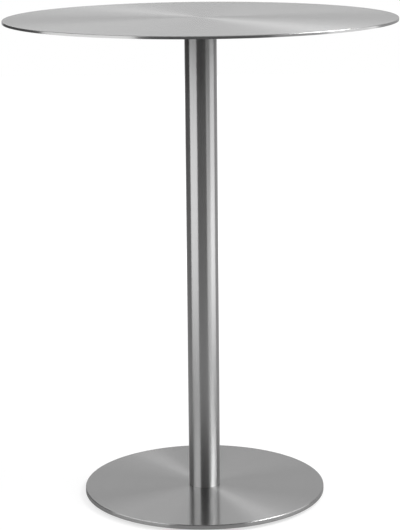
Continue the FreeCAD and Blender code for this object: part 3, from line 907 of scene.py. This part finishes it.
# How far the near panels and the far ones hang from the table's axis
NEAR = 1.3
FAR = 2.6
SOFTBOXES = (
    Softbox("left_panel_low", -59.5, NEAR, 0.45, 1.41, 0.9, 1.25),
    Softbox("left_panel_high", -59.5, NEAR, 1.55, 1.41, 1.3, 1.08),
    Softbox("right_panel_low", 85.0, NEAR, 0.3, 0.95, 0.6, 1.50),
    Softbox("right_panel_high", 85.0, NEAR, 1.4, 0.95, 1.6, 0.99),
    Softbox("right_front_low", 50.0, NEAR, 0.3, 0.70, 0.6, 0.90),
    Softbox("right_front_high", 50.0, NEAR, 1.4, 0.70, 1.6, 0.30),
    Softbox("back_right_panel", 127.5, FAR, 1.6, 2.15, 3.2, 0.33),
    Softbox("backdrop_low", 180.0, FAR, 0.8, 3.0, 1.6, 0.45),
    Softbox("backdrop_high", 180.0, FAR, 2.4, 3.0, 1.6, 0.99),
    Softbox("key", 90.0, 2.15, 3.1, 2.0, 0.9, 10.4, aim=0.6),
    Softbox("overhead", 0.0, 0.0, 3.2, 2.8, 2.8, 0.55, aim=0.0),
    Softbox("high_back_left", -125.0, FAR, 2.5, 2.43, 1.6, 0.55),
    Softbox("high_left", -75.0, FAR, 2.75, 2.43, 1.1, 0.45),
    Softbox("high_front", 0.0, FAR, 2.5, 6.2, 1.6, 0.25),
    Softbox("high_right", 75.0, FAR, 2.75, 2.43, 1.1, 0.45),
)


def add_softbox(box):
    """Hang an area lamp that the camera doesn't see."""
    turn = math.radians(box.bearing)
    place = Vector((math.sin(turn) * box.distance, -math.cos(turn) * box.distance, box.height))
    aim = Vector((0.0, 0.0, box.height if box.aim is None else box.aim))
    lamp = bpy.data.lights.new(box.name, "AREA")
    lamp.shape = "RECTANGLE"
    lamp.size = box.wide
    lamp.size_y = box.high
    lamp.energy = box.brightness * math.pi * box.wide * box.high
    item = bpy.data.objects.new(box.name, lamp)
    item.location = place
    item.rotation_euler = (aim - place).to_track_quat("-Z", "Y").to_euler()
    item.visible_camera = False
    bpy.context.scene.collection.objects.link(item)


def seen_white(tree, stage):
    """How much of the white a ray meets: all of it from the camera, and a share of it off the table."""
    rays = tree.nodes.new("ShaderNodeLightPath").outputs
    mirrored = calculate(tree, "MAXIMUM", rays["Is Glossy Ray"], rays["Is Transmission Ray"])
    seen = calculate(tree, "MULTIPLY_ADD", mirrored, stage.reflected, rays["Is Camera Ray"])
    return calculate(tree, "MULTIPLY_ADD", rays["Is Diffuse Ray"], stage.fill, seen)


def mix_shaders(tree, share, first, second):
    mix = tree.nodes.new("ShaderNodeMixShader")
    feed(tree, mix.inputs["Fac"], share)
    feed(tree, mix.inputs[1], first)
    feed(tree, mix.inputs[2], second)
    return mix.outputs["Shader"]


def room_world(stage):
    """A white surround for the camera, and a plain dim room for the light."""
    world = bpy.data.worlds.new("Studio")
    bpy.context.scene.world = world
    world.use_nodes = True
    tree = world.node_tree
    room = tree.nodes["Background"]
    room.inputs["Color"].default_value = WHITE
    room.inputs["Strength"].default_value = stage.room
    white = tree.nodes.new("ShaderNodeBackground")
    white.inputs["Color"].default_value = WHITE
    seen = mix_shaders(tree, seen_white(tree, stage), room.outputs["Background"], white.outputs["Background"])
    feed(tree, tree.nodes["World Output"].inputs["Surface"], seen)


def floor_material(stage):
    """A pale floor that fades into the white surround, with the table's shadow left on it."""
    material, tree, shader, point = new_material("Studio floor")
    shader.inputs["Base Color"].default_value = (*stage.floor, 1.0)
    shader.inputs["Roughness"].default_value = stage.floor_roughness
    shader.inputs["Specular IOR Level"].default_value = 0.0
    away = combine(tree, "LENGTH", point, result="Value")
    fade = spread(tree, away, stage.floor_glow, 1.0, stage.white_start, stage.white_end, smooth=True)
    glow = tree.nodes.new("ShaderNodeEmission")
    feed(tree, glow.inputs["Strength"], calculate(tree, "MULTIPLY", fade, seen_white(tree, stage)))
    both = tree.nodes.new("ShaderNodeAddShader")
    feed(tree, both.inputs[0], shader.outputs["BSDF"])
    feed(tree, both.inputs[1], glow.outputs["Emission"])
    under = tree.nodes.new("ShaderNodeNewGeometry").outputs["Backfacing"]
    clear = tree.nodes.new("ShaderNodeBsdfTransparent")
    seen = mix_shaders(tree, under, both.outputs["Shader"], clear.outputs["BSDF"])
    feed(tree, tree.nodes["Material Output"].inputs["Surface"], seen)
    return material


class BARTABLE_OT_set_stage(bpy.types.Operator):
    """Lay the floor, hang the lamps and set the camera"""

    bl_idname = "bar_table.set_stage"
    bl_label = "Set stage"

    def execute(self, context):
        stage = context.scene.bar_table_stage
        deselect_everything()
        bpy.ops.mesh.primitive_plane_add(size=stage.floor_size, location=(0.0, 0.0, -stage.floor_drop))
        floor = rename(context.object, "studio_floor")
        floor.data.materials.append(floor_material(stage))
        for box in SOFTBOXES:
            add_softbox(box)
        room_world(stage)
        view = bpy.data.cameras.new("table_view")
        view.lens = stage.lens
        view.sensor_width = stage.sensor
        camera = bpy.data.objects.new("table_view", view)
        camera.location = (0.0, -stage.camera_distance, stage.camera_height)
        aim = Euler((math.pi / 2 - stage.camera_pitch, 0.0, stage.camera_turn)).to_matrix()
        camera.rotation_euler = (aim @ Matrix.Rotation(-stage.camera_roll, 3, "Z")).to_euler()
        context.scene.collection.objects.link(camera)
        context.scene.camera = camera
        context.scene.view_settings.view_transform = "Standard"
        return {"FINISHED"}


class BARTABLE_PT_panel(bpy.types.Panel):
    """The table's values and steps"""

    bl_idname = "BARTABLE_PT_panel"
    bl_label = "Bar table"
    bl_space_type = "VIEW_3D"
    bl_region_type = "UI"
    bl_category = "Bar table"

    def draw(self, context):
        scene = context.scene
        for group in (scene.bar_table_sizes, scene.bar_table_finish, scene.bar_table_stage):
            box = self.layout.box()
            for name in group.__annotations__:
                box.prop(group, name)
        for operator in OPERATORS:
            self.layout.operator(operator.bl_idname)


OPERATORS = (
    BARTABLE_OT_add_top,
    BARTABLE_OT_add_column,
    BARTABLE_OT_add_base,
    BARTABLE_OT_add_hub,
    BARTABLE_OT_add_welds,
    BARTABLE_OT_add_studs,
    BARTABLE_OT_add_feet,
    BARTABLE_OT_finish_fittings,
    BARTABLE_OT_set_stage,
)
CLASSES = (BarTableSizes, BarTableFinish, BarTableStage, *OPERATORS, BARTABLE_PT_panel)


def register():
    for item in CLASSES:
        bpy.utils.register_class(item)
    bpy.types.Scene.bar_table_sizes = bpy.props.PointerProperty(type=BarTableSizes)
    bpy.types.Scene.bar_table_finish = bpy.props.PointerProperty(type=BarTableFinish)
    bpy.types.Scene.bar_table_stage = bpy.props.PointerProperty(type=BarTableStage)


def unregister():
    del bpy.types.Scene.bar_table_stage
    del bpy.types.Scene.bar_table_finish
    del bpy.types.Scene.bar_table_sizes
    for item in reversed(CLASSES):
        bpy.utils.unregister_class(item)


def main():
    register()
    bpy.ops.bar_table.add_top()
    bpy.ops.bar_table.add_column()
    bpy.ops.bar_table.add_base()
    bpy.ops.bar_table.add_hub()
    bpy.ops.bar_table.add_welds()
    bpy.ops.bar_table.add_studs()
    bpy.ops.bar_table.add_feet()
    bpy.ops.bar_table.finish_fittings()
    bpy.ops.bar_table.set_stage()


if __name__ == "__main__":
    main()
